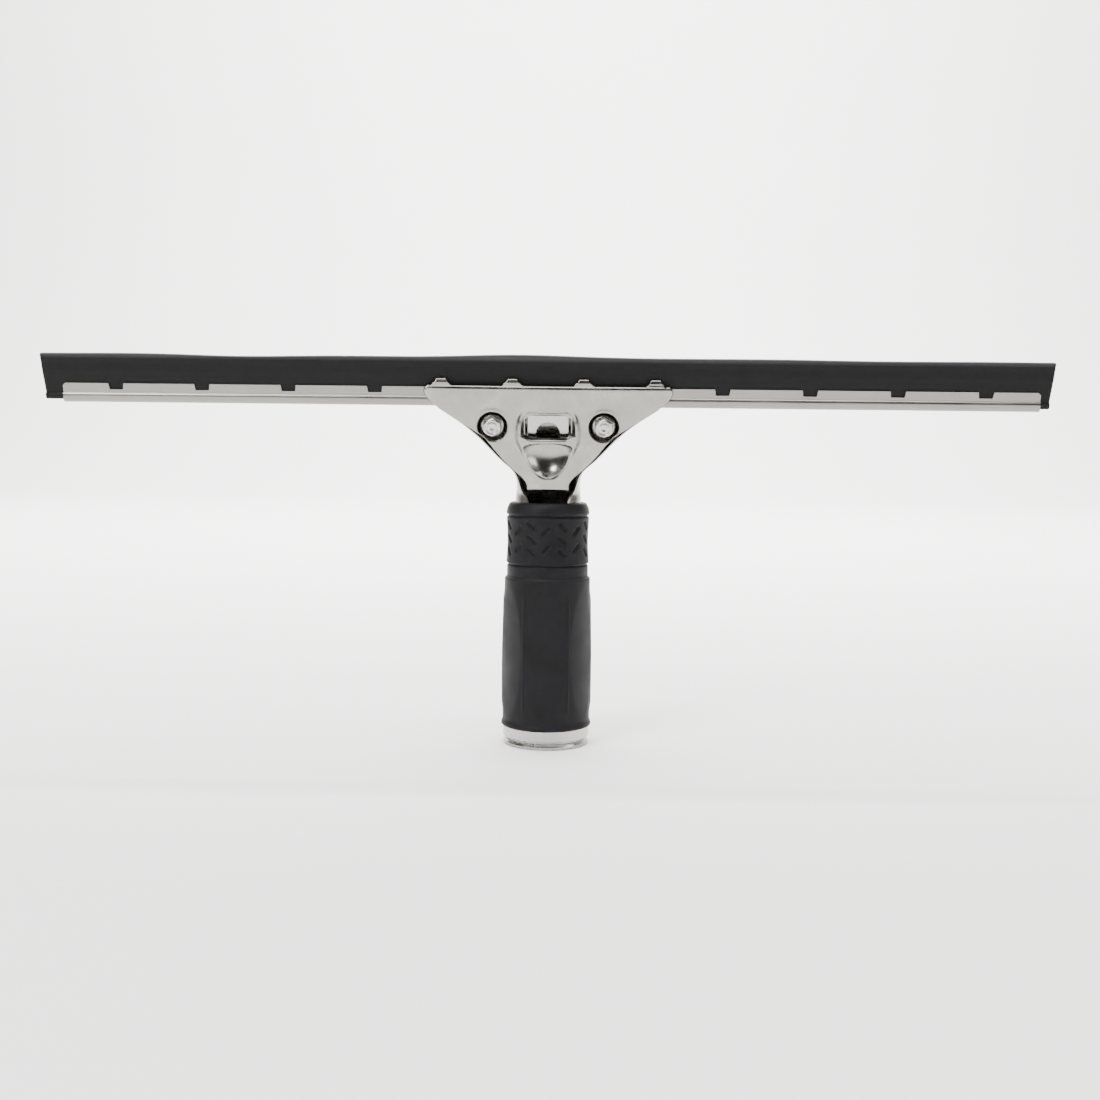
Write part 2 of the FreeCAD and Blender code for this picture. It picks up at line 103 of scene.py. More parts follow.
def relief(tree, height, depth_mm, strength=1.0, under=None):
    """Bump of a given depth, on top of another bump where one is given."""
    feeds = {"Height": height, "Distance": depth_mm * MM, "Strength": strength}
    if under is not None:
        feeds["Normal"] = under
    return add(tree, "ShaderNodeBump", None, feeds).outputs[0]


def coat(tree, shader, colour, roughness, normal):
    """Feed the shader its colour, roughness and bump."""
    for key, socket in (("Base Color", colour), ("Roughness", roughness), ("Normal", normal)):
        tree.links.new(socket, shader.inputs[key])


def moulded_nylon():
    """Black nylon, spark-eroded mould: an even matte black with a faint orange-peel."""
    material, tree, where, shader = new_material("moulded_nylon", IOR=1.53)
    coat(tree, shader,
         tint(tree, grain(tree, where, 6), "1B1B1D", "232325"),
         spread(tree, grain(tree, where, 3), 0.45, 0.6),
         relief(tree, grain(tree, where, 0.4), 0.02))
    return material


def extruded_aluminium():
    """Mill-finish aluminium: a soft grey shine drawn out in lines along the tube."""
    material, tree, where, shader = new_material("extruded_aluminium", Metallic=1.0)
    lines = grain(tree, where, 0.25, 3, (1, 1, 0.02))
    coat(tree, shader, tint(tree, lines, "B4B6B8", "C6C8CA"), spread(tree, lines, 0.3, 0.45),
         relief(tree, lines, 0.01))
    return material


def dress(name, material):
    """Give a carried-over node its material."""
    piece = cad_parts[name]
    piece.data.materials.clear()
    piece.data.materials.append(material)


nylon = moulded_nylon()
aluminium = extruded_aluminium()
dress("handle_tube", aluminium)
dress("socket_liner", nylon)
dress("socket_plug", nylon)


# ---- Mouth ferrule ---------------------------------------------------------------------------------
# A turned zinc ring closes the handle's mouth. It has a rounded bead at the foot, a groove and a
# plain band that the rubber grip butts against; a spigot under the grip holds it on the tube.
def turned_zinc():
    """Zinc alloy off the lathe, then tumbled: a bright grey ring with fine rings and rubbed patches."""
    material, tree, where, shader = new_material("turned_zinc", Metallic=1.0)
    rings = grain(tree, where, 0.18, 2, (0.02, 0.02, 1))
    rubbed = grain(tree, where, 7, 4)
    coat(tree, shader, tint(tree, rubbed, "A3A19D", "BEBCB9"), spread(tree, rubbed, 0.2, 0.38),
         relief(tree, rings, 0.012))
    return material


dress("mouth_ferrule", turned_zinc())


# ---- Grip sleeve -----------------------------------------------------------------------------------
# A soft rubber sleeve moulded round the tube: a rolled collar, a neck band pressed with slanting
# finger marks, a step, a softly six-sided palm and a flared foot against the ferrule.
GRIP_TOP = 115.4
GRIP_FOOT = 8.8
STEP_Z = 80.0
BAND_Z = 85.9
COLLAR_Z = 108.9
PALM_Z = (GRIP_FOOT + STEP_Z) / 2
SLEEVE_FOOT = 81.8
GRIP_BORE = 14.7
SLEEVE_BORE = 16.15
GRIP_TURNS = 240
PALM_RADIUS = 21.0
PANEL_RADIUS = 45.0
PANEL_DEPTH = 1.25
PANEL_FADE = 30.6
CREASE_DEPTH = 0.45
BAND_RADIUS = 19.3
MARK_COLUMNS = 16
MARK_DEPTH = 0.95
MARK_HALF = 1.9


def moulded_rubber():
    """Charcoal soft-touch rubber from an etched mould: matte, with handling shine in broad patches."""
    material, tree, where, shader = new_material("moulded_rubber", IOR=1.5, Specular_IOR_Level=0.16)
    handled = grain(tree, where, 16, 3)
    speckle = grain(tree, where, 0.5, 2)
    fine = relief(tree, speckle, 0.035, 0.8)
    coat(tree, shader,
         tint(tree, spread(tree, handled, 0, 1), "0C0C0E", "151518"),
         spread(tree, handled, 0.5, 0.66),
         relief(tree, grain(tree, where, 3), 0.04, 0.5, fine))
    return material


def ease(start, stop, value):
    """Smooth step from 0 at start to 1 at stop."""
    share = min(max((value - start) / (stop - start), 0.0), 1.0)
    return share * share * (3 - 2 * share)


def placed(name, data):
    """New object in the scene."""
    made = bpy.data.objects.new(name, data)
    bpy.context.scene.collection.objects.link(made)
    return made


def shape(name, bm, material):
    """Smooth shaded object from a bmesh."""
    mesh = bpy.data.meshes.new(name)
    bm.to_mesh(mesh)
    bm.free()
    mesh.polygons.foreach_set("use_smooth", [True] * len(mesh.polygons))
    mesh.materials.append(material)
    return placed(name, mesh)


def new_piece(name, bm, material, body, replaces):
    """Object from a bmesh that rides a body and stands for its node."""
    bmesh.ops.recalc_face_normals(bm, faces=bm.faces)
    piece = shape(name, bm, material)
    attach(piece, body)
    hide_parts(*replaces)
    return piece


def lathe(points, turns, closed):
    """Bmesh of points joined in a line, or in a closed loop, and turned once round the z axis."""
    bm = bmesh.new()
    verts = [bm.verts.new(point) for point in points]
    after = verts[1:] + (verts[:1] if closed else [])
    edges = [bm.edges.new(pair) for pair in zip(verts, after)]
    bmesh.ops.spin(bm, geom=verts + edges, cent=(0, 0, 0), axis=(0, 0, 1), angle=math.tau,
                   steps=turns, use_merge=True, use_duplicate=False)
    return bm


def filled(corners, limits):
    """Corners with extra points between them wherever a side is longer than its band's limit."""
    out = []
    for (r0, z0), (r1, z1) in zip(corners, corners[1:]):
        limit = next(step for top, step in limits if min(z0, z1) < top)
        count = max(1, math.ceil(math.hypot(r1 - r0, z1 - z0) / limit))
        out += [(r0 + (r1 - r0) * i / count, z0 + (z1 - z0) * i / count) for i in range(count)]
    return out + [corners[-1]]


def rounded(corners, radius, steps=5):
    """Corners with each inner one replaced by a short arc-like curve."""
    out = [corners[0]]
    for before, here, after in zip(corners, corners[1:], corners[2:]):
        a, b, c = Vector(before), Vector(here), Vector(after)
        reach = min(radius, (a - b).length / 2.2, (c - b).length / 2.2)
        start, stop = b + (a - b).normalized() * reach, b + (c - b).normalized() * reach
        for i in range(steps + 1):
            t = i / steps
            out.append(tuple((1 - t) ** 2 * start + 2 * t * (1 - t) * b + t * t * stop))
    return out + [corners[-1]]


outside = [
    (GRIP_BORE, GRIP_FOOT), (20.9, GRIP_FOOT), (21.5, GRIP_FOOT + 0.5), (21.45, GRIP_FOOT + 1.5),
    (20.75, GRIP_FOOT + 3.2), (20.85, 16.5), (21.0, 29.5), (20.95, PALM_Z), (20.6, 61.5),
    (20.3, STEP_Z - 0.4), (19.45, STEP_Z + 0.2), (BAND_RADIUS, STEP_Z + 0.9),
    (BAND_RADIUS, BAND_Z - 0.3), (18.7, BAND_Z), (18.7, BAND_Z + 0.6), (19.6, BAND_Z + 0.9),
    (BAND_RADIUS, BAND_Z + 6), (19.1, BAND_Z + 11.5), (BAND_RADIUS, BAND_Z + 17),
    (19.6, COLLAR_Z - 0.4), (18.8, COLLAR_Z), (18.8, COLLAR_Z + 0.5), (19.6, COLLAR_Z + 0.9),
    (19.7, COLLAR_Z + 1.9), (19.3, COLLAR_Z + 4.0), (18.2, GRIP_TOP - 0.4), (17.3, GRIP_TOP),
    (SLEEVE_BORE, GRIP_TOP)]
inside = [(SLEEVE_BORE, SLEEVE_FOOT), (GRIP_BORE, SLEEVE_FOOT)]
point_spacing = [(BAND_Z, 1.6), (COLLAR_Z, 0.42), (math.inf, 1.6)]
grip_line = filled(rounded(outside, 0.9) + inside, point_spacing)
grip_bm = lathe([(0, -r * MM, z * MM) for r, z in grip_line], GRIP_TURNS, closed=True)


def palm_panel(angle, z):
    """How far the softly six-sided palm lies inside a round one, fading out at both ends."""
    turn = math.radians(60)
    off = (angle + turn / 2) % turn - turn / 2
    centre = PANEL_RADIUS - (PALM_RADIUS - PANEL_DEPTH)
    flat = math.sqrt(PANEL_RADIUS ** 2 - (centre * math.sin(off)) ** 2) - centre * math.cos(off)
    rise = PANEL_DEPTH * ((z - PALM_Z) / PANEL_FADE) ** 2
    at_corner = 1 - ease(0, 0.035, turn / 2 - abs(off))
    at_middle = 1 - ease(24, 30, abs(z - PALM_Z))
    return max(PALM_RADIUS - flat - rise, 0) - CREASE_DEPTH * at_corner * at_middle


def finger_marks(angle, z):
    """Depth of the slanting marks pressed into the neck band, in columns leaning by turns."""
    column_angle = math.tau / MARK_COLUMNS
    index = round(angle / column_angle)
    lean = 1 if index % 2 else -1
    rows = (0.28, 0.55, 0.82) if lean > 0 else (0.37, 0.73)
    across = (angle - index * column_angle) * BAND_RADIUS
    depth = 0.0
    for row in rows:
        up = z - (BAND_Z + row * (COLLAR_Z - BAND_Z))
        along = (across - lean * up) / math.sqrt(2)
        side = (across + lean * up) / math.sqrt(2)
        away = math.hypot(max(abs(along) - MARK_HALF, 0), side)
        depth = max(depth, MARK_DEPTH * (1 - ease(0.4, 1.1, away)))
    return depth


for v in grip_bm.verts:
    x, y, z = (c / MM for c in v.co)
    r = math.hypot(x, y)
    if r > 17.2 and GRIP_FOOT + 1 < z < COLLAR_Z + 1:
        angle = math.atan2(x, -y)
        cut = palm_panel(angle, z) if z < STEP_Z else finger_marks(angle, z)
        share = (r - cut) / r
        v.co.x *= share
        v.co.y *= share
new_piece("grip_rubber_sleeve", grip_bm, moulded_rubber(), "handle",
          ["grip_sleeve"])


# ---- Rear plate and neck ---------------------------------------------------------------------------
# A pan of stainless sheet pressed behind the jaw. Its edge is flanged forward round the jaw, and it
# runs down into a neck that is open in front and grips the handle tube under the rubber.
def wheel_polish(tree, where):
    """What polished sheet has in common: hairlines, smears, its colour and slow ripples."""
    hair = grain(tree, where, 0.12, 3, (0.04, 1, 1))
    smear = grain(tree, where, 9, 4)
    colour = tint(tree, spread(tree, smear, 0, 1), "8F8C87", "A19E99")
    ripples = relief(tree, grain(tree, where, 14, 1), 0.12, 0.5, relief(tree, hair, 0.004, 0.6))
    return hair, smear, colour, ripples


def polished_stainless():
    """Stamped stainless, polished by wheel: a soft mirror, rougher along the scratches."""
    material, tree, where, shader = new_material("polished_stainless", Metallic=1.0)
    hair, smear, colour, ripples = wheel_polish(tree, where)
    wheel = spread(tree, smear, 0.17, 0.3)
    scratch = spread(tree, hair, 0.0, 0.07)
    rough = add(tree, "ShaderNodeMath", {"operation": "ADD"}, {0: wheel, 1: scratch}).outputs[0]
    coat(tree, shader, colour, rough, ripples)
    return material


dress("rear_plate", polished_stainless())


# ---- Bolts, nuts, washers, spacers and rivets ------------------------------------------------------
# Zinc-plated M5 hex bolts sit in the jaw's cups and run back through spacer sleeves to washers and
# lock nuts behind the rear plate. Two rivets under the grip pin the neck to the tube.
def zinc_plate():
    """Bright zinc on steel: a cold silver with slightly cloudy patches."""
    material, tree, where, shader = new_material("zinc_plate", Metallic=1.0)
    cloud = grain(tree, where, 2.5, 3)
    coat(tree, shader, tint(tree, cloud, "ACAAA6", "C4C2BE"), spread(tree, cloud, 0.22, 0.36),
         relief(tree, grain(tree, where, 0.3), 0.006))
    return material


plating = zinc_plate()
for side in ("left", "right"):
    for kind in ("spacer", "washer", "lock_nut", "neck_rivet"):
        dress(side + "_" + kind, plating)

HEAD_TILT = math.radians(18)
HEAD_Y = -11.8
HEAD_Z = 120.4
BOLT_X = 25.5
BOLT_W = 31.7
BOLT_R = 2.5
BOLT_FLATS = 8.0
BOLT_FACE = -1.9
THREAD_END = 15.9
THREAD_TURNS = 7
THREAD_PITCH = 0.8
THREAD_DEPTH = 0.35


def on_head(x, d, w):
    """Point of plate millimetres: across, depth behind the jaw's face, height up the plate."""
    y = HEAD_Y + d * math.cos(HEAD_TILT) - w * math.sin(HEAD_TILT)
    z = HEAD_Z + d * math.sin(HEAD_TILT) + w * math.cos(HEAD_TILT)
    return Vector((x, y, z)) * MM


def hex_bolt(centre):
    """Bmesh of a hex bolt: ring and dimple on the chamfered head, plain shank, thread at the tail."""
    outline = [(0.0, 0.6), (0.9, 0.6), (1.2, 0.3), (2.3, 0.25), (2.5, 0.5), (2.75, 0.5),
               (2.95, 0.1), (3.4, 0.0), (3.75, 0.15), (4.2, 0.65), (4.7, 1.4), (4.75, 1.5),
               (4.75, 3.5), (BOLT_R, 3.5)]
    tail = THREAD_END - BOLT_FACE
    for turn in range(THREAD_TURNS):
        crest = tail - 6.0 + turn * THREAD_PITCH
        outline += [(BOLT_R, crest), (BOLT_R - THREAD_DEPTH, crest + THREAD_PITCH / 2)]
    outline += [(BOLT_R - 0.5, tail), (0.0, tail)]
    bm = lathe([(r, 0, depth) for r, depth in outline], 72, closed=False)
    for v in bm.verts:
        r = math.hypot(v.co.x, v.co.y)
        off = (math.atan2(v.co.y, v.co.x) + math.pi / 6) % (math.pi / 3) - math.pi / 6
        share = min(1.0, BOLT_FLATS / 2 / math.cos(off) / max(r, 0.001))
        v.co = on_head(centre + v.co.x * share, BOLT_FACE + v.co.z, BOLT_W + v.co.y * share)
    bmesh.ops.remove_doubles(bm, verts=bm.verts, dist=1e-6)
    return bm


for side, sign in (("left", -1), ("right", 1)):
    new_piece(side + "_hex_bolt", hex_bolt(sign * BOLT_X), plating, "handle",
              [side + "_jaw_bolt"])


# ---- Bow spring ------------------------------------------------------------------------------------
# A strip of spring steel bowed between the plates. Its flat end and round hole show in the jaw's
# window, its bow rests on the rear plate, and its foot pushes the tab and curls back below it.
SPRING_HALF = 9.6
SPRING_T = 0.8
SPRING_HOLES = [(0, 27.6, 5.4), (0, -1.4, 4.0)]  # across, up and radius


def rolled_strip():
    """Cold-rolled spring steel: bright, with fine rolling lines along the strip."""
    material, tree, where, shader = new_material("rolled_strip", Metallic=1.0)
    lines = grain(tree, where, 0.2, 2, (1, 0.05, 0.05))
    coat(tree, shader, tint(tree, lines, "A8A6A2", "BEBCB8"), spread(tree, lines, 0.22, 0.34),
         relief(tree, lines, 0.005))
    return material


def along(points, share):
    """Point at a share of a bent line's length."""
    lengths = [(Vector(b) - Vector(a)).length for a, b in zip(points, points[1:])]
    left = share * sum(lengths)
    for a, b, length in zip(points, points[1:], lengths):
        if left <= length:
            return Vector(a).lerp(Vector(b), left / length)
        left -= length
    return Vector(points[-1])


spring_path = rounded([(3.3, 38.4), (3.3, 26.8), (8.1, 24.4), (8.1, 16.4), (2.0, 6.2), (2.0, 1.0),
                       (4.0, -1.3)], 1.8)
spring_bm = bmesh.new()
bmesh.ops.create_grid(spring_bm, x_segments=40, y_segments=110, size=1.0)
for v in spring_bm.verts:
    point = along(spring_path, (v.co.y + 1) / 2)
    x, w = v.co.x * SPRING_HALF, point.y
    for cx, cw, r in SPRING_HOLES:
        away = math.hypot(x - cx, w - cw)
        if abs(away - r) < 0.3 and away > 0:
            x = cx + (x - cx) * r / away
    v.co = on_head(x, point.x, w)
hollow = []
for f in spring_bm.faces:
    c = f.calc_center_median() / MM - Vector((0, HEAD_Y, HEAD_Z))
    w = c.z * math.cos(HEAD_TILT) - c.y * math.sin(HEAD_TILT)
    if any(math.hypot(c.x - cx, w - cw) < r for cx, cw, r in SPRING_HOLES):
        hollow.append(f)
bmesh.ops.delete(spring_bm, geom=hollow, context="FACES")
bmesh.ops.solidify(spring_bm, geom=spring_bm.faces[:], thickness=SPRING_T * MM)
spring = new_piece("bowed_strip_spring", spring_bm, rolled_strip(), "handle",
                   ["bow_spring"])
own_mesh(spring)


# ---- Front jaw -------------------------------------------------------------------------------------
# Stainless sheet stamped in one blow: top edge rolled back with four teeth that hold the rubber, two
# cups for the bolt heads, a framed window, a hollow thumb scoop and a tab that is pressed to open it.
JAW_SIDE = [(9.7, 1.2), (9.8, 3.8), (12.1, 7.2), (15.8, 10.6), (19.9, 14.7), (23.7, 19.2),
            (29.6, 26.4), (37.1, 31.7), (44.2, 36.4), (50.6, 40.7), (55.3, 45.2), (56.5, 47.8),
            (56.3, 49.2), (55.2, 50.5)]  # half width and height
ROLL_START = 48.9
ROLL_R = 1.9
WINDOW = (10.4, 26.9, 36.9, 2.8)  # half width, foot, top and corner radius
BOLT_HOLE = 3.2
TAB_FOOT = 1.2
TOOTH_PITCH = 32.4
EDGE_DROP = 0.45
PAD_FOOT = 5.6
PAD_RISE = 2.2
FRAME_DEPTH = 3.0
SCOOP_MIDDLE = 19.8
SCOOP_UP = 4.6
SCOOP_DOWN = 12.4
SCOOP_HALF = 11.6
SCOOP_DEPTH = 6.4
CUP_FLOOR = 5.0
CUP_RIM = 7.3
CUP_DEPTH = 2.3
CUP_RIDGE = 0.4
COLUMN = 0.368
CORE_COLUMNS = 38
SIDE_COLUMNS = 102
JAW_ROWS = 132
JAW_T = 1.2


def stamped_stainless():
    """Polished sheet after the press: bright on its flats, with painted shade that darkens the slopes
    turned away from the plate's face, outside the scoop.
    """
    material, tree, where, shader = new_material("stamped_stainless", Metallic=1.0)
    _, smear, bright, ripples = wheel_polish(tree, where)
    facing = add(tree, "ShaderNodeVectorMath", {"operation": "DOT_PRODUCT"},
                 {0: add(tree, "ShaderNodeTexCoord").outputs["Normal"],
                  1: (0, -math.cos(HEAD_TILT), -math.sin(HEAD_TILT))}).outputs["Value"]
    slope = spread(tree, facing, 1.0, 0.0, 0.55, 0.96)
    away = add(tree, "ShaderNodeVectorMath", {"operation": "DISTANCE"},
               {0: where, 1: tuple(on_head(0, 2, 17))}).outputs["Value"]
    outside_scoop = spread(tree, away, 0.0, 0.7, 9.5 * MM, 12.5 * MM)
    # painted shade: the colour runs to a dark tint where the face turns away from the plate's front,
    # except in the scoop
    painted_slope_shade = add(tree, "ShaderNodeMath", {"operation": "MULTIPLY"},
               {0: slope, 1: outside_scoop}).outputs[0]
    coat(tree, shader, tint(tree, painted_slope_shade, bright, "45433F"), spread(tree, smear, 0.17, 0.32), ripples)
    return material


def jaw_half(w):
    """Half width of the jaw at a height, smooth through the outline's points."""
    for i in range(len(JAW_SIDE) - 1):
        (x0, w0), (x1, w1) = JAW_SIDE[i], JAW_SIDE[i + 1]
        if w <= w1:
            xa, wa = JAW_SIDE[max(i - 1, 0)]
            xb, wb = JAW_SIDE[min(i + 2, len(JAW_SIDE) - 1)]
            t = max((w - w0) / (w1 - w0), 0.0)
            m0 = (x1 - xa) / (w1 - wa) * (w1 - w0)
            m1 = (xb - x0) / (wb - w0) * (w1 - w0)
            return ((2 * t ** 3 - 3 * t * t + 1) * x0 + (t ** 3 - 2 * t * t + t) * m0
                    + (3 * t * t - 2 * t ** 3) * x1 + (t ** 3 - t * t) * m1)
    return JAW_SIDE[-1][0]


def window_gap(x, w):
    """Signed distance from the window's rounded edge, positive outside it."""
    half, low, high, r = WINDOW
    dx = abs(x) - (half - r)
    dw = abs(w - (low + high) / 2) - ((high - low) / 2 - r)
    return math.hypot(max(dx, 0), max(dw, 0)) + min(max(dx, dw), 0) - r


def stamping(x, w):
    """Depth of the stamped face behind the flat of the plate."""
    side = abs(x)
    depth = 0.3 * (side / 56) ** 2
    depth += EDGE_DROP * (1 - min(max(jaw_half(w) - side, 0), 1)) ** 2
    rise = min(max((w - PAD_FOOT) / 20.0, 0.001), 1.0)
    pad = ((side / (15.0 * rise ** 0.55)) ** 4 + (max(w - 24.0, 0) / 15.4) ** 4) ** 0.25
    depth -= PAD_RISE * (1 - ease(0.84, 1.06, pad)) * ease(PAD_FOOT, 11.0, w)
    frame_run = 1.2 + 1.8 * ease(26.5, 28.5, w)
    depth += FRAME_DEPTH * (1 - ease(0, frame_run, window_gap(x, w)))
    reach = (w - SCOOP_MIDDLE) / (SCOOP_UP if w > SCOOP_MIDDLE else SCOOP_DOWN)
    half = SCOOP_HALF - 4.4 * max(-reach, 0) ** 1.4
    bowl = (side / half) ** 2 + abs(reach) ** (6 if reach > 0 else 2)
    if bowl < 1:
        depth += SCOOP_DEPTH * (1 - bowl) ** 0.9
    for s in (-1, 1):
        away = math.hypot(x - s * BOLT_X, w - BOLT_W)
        ridge = CUP_RIDGE * ease(6.4, 7.4, away) * (1 - ease(7.4, 9.6, away))
        depth += CUP_DEPTH * (1 - ease(CUP_FLOOR, CUP_RIM, away)) - ridge
    return depth


def jaw_point(u, v):
    """Across, back and up of grid position u, v from -1 to 1, with the top edge rolled back."""
    run = TAB_FOOT + (v + 1) / 2 * (ROLL_START - TAB_FOOT + ROLL_R * math.pi / 2 + 0.6)
    over = max(run - ROLL_START, 0)
    bend = min(over / ROLL_R, math.pi / 2)
    w = min(run, ROLL_START) + ROLL_R * math.sin(bend)
    back = ROLL_R * (1 - math.cos(bend)) + max(over - ROLL_R * math.pi / 2, 0)
    half = jaw_half(w)
    core = min(COLUMN * CORE_COLUMNS, 0.9 * half)
    column = abs(u) * (CORE_COLUMNS + SIDE_COLUMNS)
    if column <= CORE_COLUMNS:
        x = core * column / CORE_COLUMNS
    else:
        x = core + (half - core) * (column - CORE_COLUMNS) / SIDE_COLUMNS
    x = math.copysign(x, u)
    gap = window_gap(x, w)
    if abs(gap) < 0.2:
        step = 0.01
        slope = Vector((window_gap(x + step, w) - window_gap(x - step, w),
                        window_gap(x, w + step) - window_gap(x, w - step)))
        if slope.length > 0:
            x -= gap * slope.normalized().x
            w -= gap * slope.normalized().y
    return x, back, w


def curled_tooth(bm, centre):
    """One tooth: a tapered tongue of the same sheet, curled back towards the rubber."""
    tongue = [(1.0, 49.9), (1.05, 50.9), (1.3, 52.3), (2.0, 53.4), (3.0, 53.9)]
    grid = bmesh.ops.create_grid(bm, x_segments=14, y_segments=14, size=1.0)["verts"]
    for v in grid:
        point = along(tongue, (v.co.y + 1) / 2)
        half = 2.5 + 2.3 * (1 - ease(50.6, 53.0, point.y)) - 0.6 * ease(53.2, 53.9, point.y)
        v.co = on_head(centre + v.co.x * half, point.x, point.y)


jaw_bm = bmesh.new()
columns = 2 * (CORE_COLUMNS + SIDE_COLUMNS)
bmesh.ops.create_grid(jaw_bm, x_segments=columns, y_segments=JAW_ROWS, size=1.0)
plate_spot = {}
for v in jaw_bm.verts:
    x, back, w = jaw_point(v.co.x, v.co.y)
    plate_spot[v] = (x, w)
    v.co = on_head(x, back + stamping(x, w) * max(0, 1 - back / 1.5), w)
gone = []
for f in jaw_bm.faces:
    x = sum(plate_spot[v][0] for v in f.verts) / 4
    w = sum(plate_spot[v][1] for v in f.verts) / 4
    if window_gap(x, w) < 0 or math.hypot(abs(x) - BOLT_X, w - BOLT_W) < BOLT_HOLE:
        gone.append(f)
bmesh.ops.delete(jaw_bm, geom=gone, context="FACES")
for step in (-3, -1, 1, 3):
    curled_tooth(jaw_bm, step * TOOTH_PITCH / 2)
bmesh.ops.solidify(jaw_bm, geom=jaw_bm.faces[:], thickness=JAW_T * MM)
new_piece("stamped_front_jaw", jaw_bm, stamped_stainless(), "jaw",
          ["front_jaw"])


# ---- Blade channel ---------------------------------------------------------------------------------
# One strip of stainless folded along its length: a round tube below for the rubber's bead and two
# lips above with punched notches. It slides sideways between the plates.
def drawn_stainless():
    """Satin stainless drawn through rolls: long faint lines and a broad, soft highlight."""
    material, tree, where, shader = new_material("drawn_stainless", Metallic=1.0)
    lines = grain(tree, where, 0.3, 3, (0.01, 1, 1))
    handled = grain(tree, where, 18, 4)
    coat(tree, shader, tint(tree, handled, "7E7B77", "98958F"), spread(tree, handled, 0.27, 0.4),
         relief(tree, lines, 0.01, 0.8))
    return material


dress("channel", drawn_stainless())


# ---- Rubber blade ----------------------------------------------------------------------------------
# Extruded natural rubber: a bead and web inside the channel and a flat lip above, cut square at both
# ends. The clamp squeezes the lip slightly upwards in the middle.
def extruded_rubber():
    """Black natural rubber with a bloom of chalky dust: matte grey-black, with a painted highlight that
    turns the top edge of the lip paler.
    """
    material, tree, where, shader = new_material("extruded_rubber", IOR=1.5,
                                                 Specular_IOR_Level=0.16)
    dust = grain(tree, where, 5, 5, (0.4, 1, 1))
    body = tint(tree, spread(tree, dust, 0, 1), "0C0C0D", "151516")
    height = add(tree, "ShaderNodeSeparateXYZ", None, {"Vector": where}).outputs[2]
    # painted highlight: a paler strip along the top of the lip, where it faces the light from above
    painted_top_highlight = spread(tree, height, 0.0, 0.5, 0.1795, 0.1812)
    coat(tree, shader, tint(tree, painted_top_highlight, body, "4A4A4D"), spread(tree, dust, 0.5, 0.7),
         relief(tree, grain(tree, where, 0.5, 3, (0.3, 1, 1)), 0.03))
    return material


RUBBER_D = 4.9
RUBBER_LIP = 62.9
RUBBER_FOOT = 41.7
RUBBER_SHIFT = -2
RUBBER_HALF = 228.3
RUBBER_FLARE = 0.7
RUBBER_STATIONS = 260
half_line = rounded([
    (0.0, RUBBER_FOOT), (1.45, RUBBER_FOOT), (2.3, 42.1), (2.65, 42.9), (2.65, 43.7), (2.2, 44.5),
    (1.4, 44.8), (1.4, 50.0), (1.4, 55.5), (1.25, 57.0), (1.1, 58.5), (1.1, 60.5), (1.1, 62.2),
    (0.95, RUBBER_LIP), (0.0, RUBBER_LIP)], 0.25, 3)
rubber_line = [(RUBBER_D - d, w) for d, w in half_line]
rubber_line += [(RUBBER_D + d, w) for d, w in half_line[::-1][1:-1]]


def lip_wave(x):
    """How far the clamp and use have pushed the lip up or down along its length."""
    bump = 1.2 * math.exp(-((x + 17) / 32) ** 2)
    dip = -0.7 * math.exp(-((x + 142) / 30) ** 2)
    return bump + dip + 0.15 * math.sin(x / 37) + 0.1 * math.sin(x / 15 + 1)


rubber_bm = bmesh.new()
sides = len(rubber_line)
bmesh.ops.create_grid(rubber_bm, x_segments=RUBBER_STATIONS, y_segments=sides, size=1.0)
for v in rubber_bm.verts:
    d, w = rubber_line[round((v.co.y + 1) / 2 * sides) % sides]
    x = RUBBER_SHIFT + v.co.x * (RUBBER_HALF + RUBBER_FLARE * ease(42, RUBBER_LIP, w))
    v.co = on_head(x, d, w + lip_wave(x) * ease(49, RUBBER_LIP, w))
bmesh.ops.remove_doubles(rubber_bm, verts=rubber_bm.verts, dist=1e-6)
open_ends = [e for e in rubber_bm.edges if e.is_boundary]
bmesh.ops.holes_fill(rubber_bm, edges=open_ends, sides=0)
new_piece("rubber_strip", rubber_bm, extruded_rubber(), "blade", ["rubber_blade"])


# ---- Studio ----------------------------------------------------------------------------------------
# A pale seamless floor that curves up far behind the object, lit by large soft panels. The room round
# it is dim except straight to the camera, so that the polished steel has dark parts to reflect.
FLOOR_HALF = 6
FLOOR_BACK = 4
WALL_TOP = 5
CORNER_RADIUS = 1.6
ROOM_DIM = 0.07
ROOM_SEEN = 0.8


def seamless_paper():
    """Matte off-white paper."""
    material, tree, where, shader = new_material("seamless_paper", Roughness=0.9)
    colour = tint(tree, grain(tree, where, 400), "F0EFED", "F4F3F1")
    tree.links.new(colour, shader.inputs["Base Color"])
    return material


def panel(name, place, aim, size, power):
    """A square soft white light aimed at a point."""
    lamp = bpy.data.lights.new(name, "AREA")
    lamp.size = size
    lamp.energy = power
    made = placed(name, lamp)
    made.location = place
    made.rotation_euler = (Vector(aim) - Vector(place)).to_track_quat("-Z", "Y").to_euler()


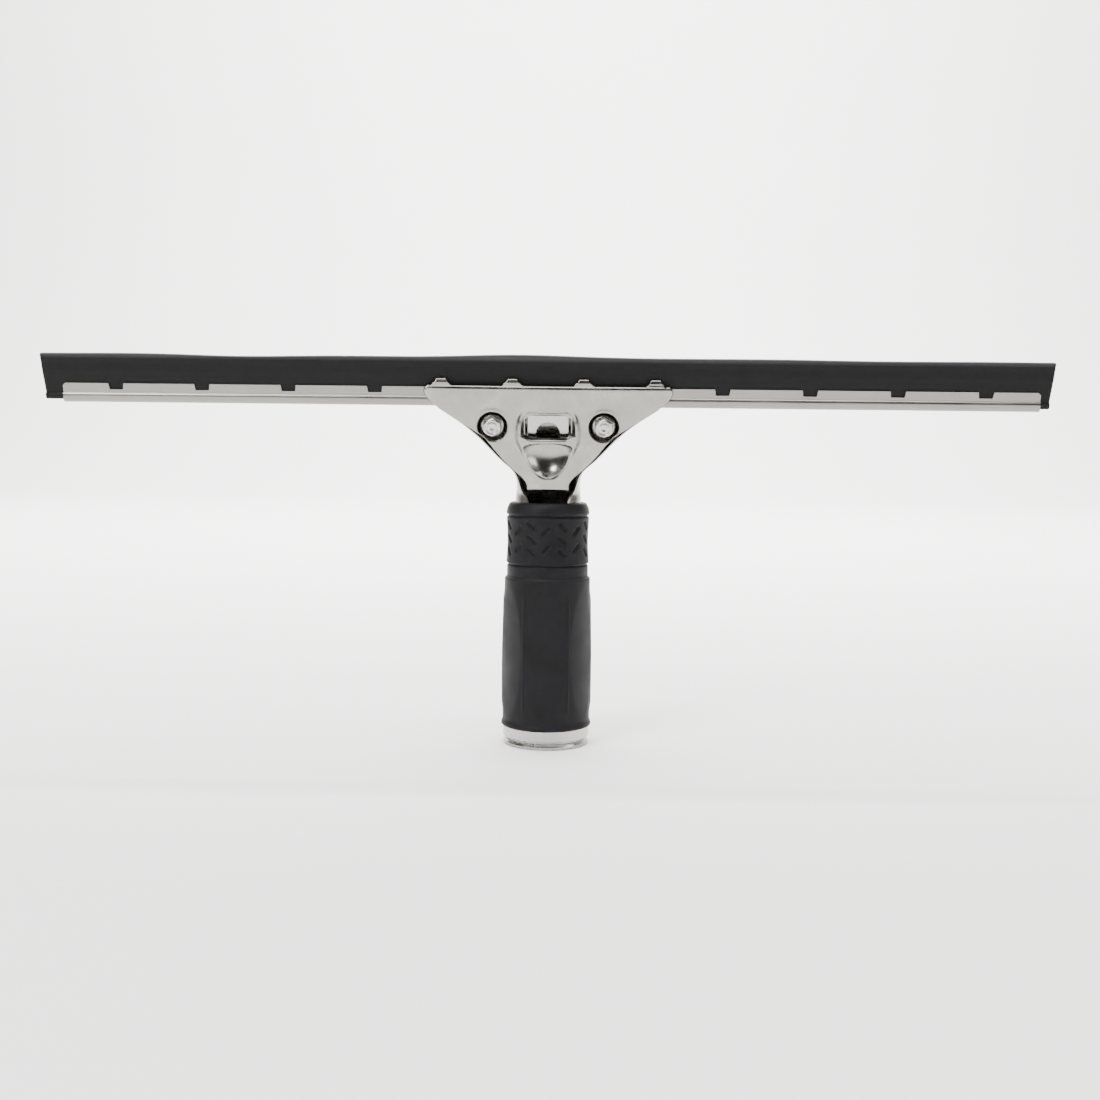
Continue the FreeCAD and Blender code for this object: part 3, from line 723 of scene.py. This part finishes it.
floor_bm = bmesh.new()
profile = [(-FLOOR_HALF, 0), (FLOOR_BACK, 0), (FLOOR_BACK, WALL_TOP)]
edge_verts = [floor_bm.verts.new((-FLOOR_HALF, y, z)) for y, z in profile]
strip = [floor_bm.edges.new(pair) for pair in zip(edge_verts, edge_verts[1:])]
swept = bmesh.ops.extrude_edge_only(floor_bm, edges=strip)["geom"]
far_verts = [g for g in swept if isinstance(g, bmesh.types.BMVert)]
bmesh.ops.translate(floor_bm, verts=far_verts, vec=(2 * FLOOR_HALF, 0, 0))
fold = [e for e in floor_bm.edges
        if all(abs(v.co.y - FLOOR_BACK) < 1e-6 and abs(v.co.z) < 1e-6 for v in e.verts)]
bmesh.ops.bevel(floor_bm, geom=fold, offset=CORNER_RADIUS, segments=24, profile=0.5,
                affect="EDGES", material=-1)
floor = shape("studio_floor", floor_bm, seamless_paper())

world = bpy.data.worlds.new("studio")
world.use_nodes = True
room = world.node_tree
background = room.nodes["Background"]
background.inputs["Color"].default_value = linear("FFFFFF")
seen = add(room, "ShaderNodeLightPath").outputs["Is Camera Ray"]
room.links.new(spread(room, seen, ROOM_DIM, ROOM_SEEN, 0, 1), background.inputs["Strength"])
bpy.context.scene.world = world
panel("key_panel", (-1.0, -1.2, 1.3), (0, 0, 0.12), 0.7, 34)
panel("fill_panel", (1.4, -0.5, 0.5), (0, 0, 0.12), 0.5, 6)
panel("top_panel", (0.0, -0.15, 1.7), (0, -0.15, 0), 1.5, 78)
panel("backdrop_panel", (0.0, 1.0, 2.6), (0, 4.0, 1.2), 2.4, 640)


# ---- Camera ----------------------------------------------------------------------------------------
# A normal lens at the height of the bolts, a little to the right and looking slightly down.
CAMERA_FAR = 0.64
CAMERA_UP = 0.1476
CAMERA_TURN = math.radians(1.3)
CAMERA_PAN = math.radians(1.2)
CAMERA_DIP = math.radians(4.92)
CAMERA_ROLL = math.radians(0.65)
camera_data = bpy.data.cameras.new("camera")
camera_data.lens = 44.15
camera_data.sensor_width = 36
camera = placed("camera", camera_data)
eye = Vector((CAMERA_FAR * math.sin(CAMERA_TURN), -CAMERA_FAR * math.cos(CAMERA_TURN), CAMERA_UP))
camera.matrix_world = (Matrix.Translation(eye) @ Matrix.Rotation(CAMERA_PAN, 4, "Z")
                       @ Matrix.Rotation(math.pi / 2 - CAMERA_DIP, 4, "X")
                       @ Matrix.Rotation(CAMERA_ROLL, 4, "Z"))
bpy.context.scene.camera = camera
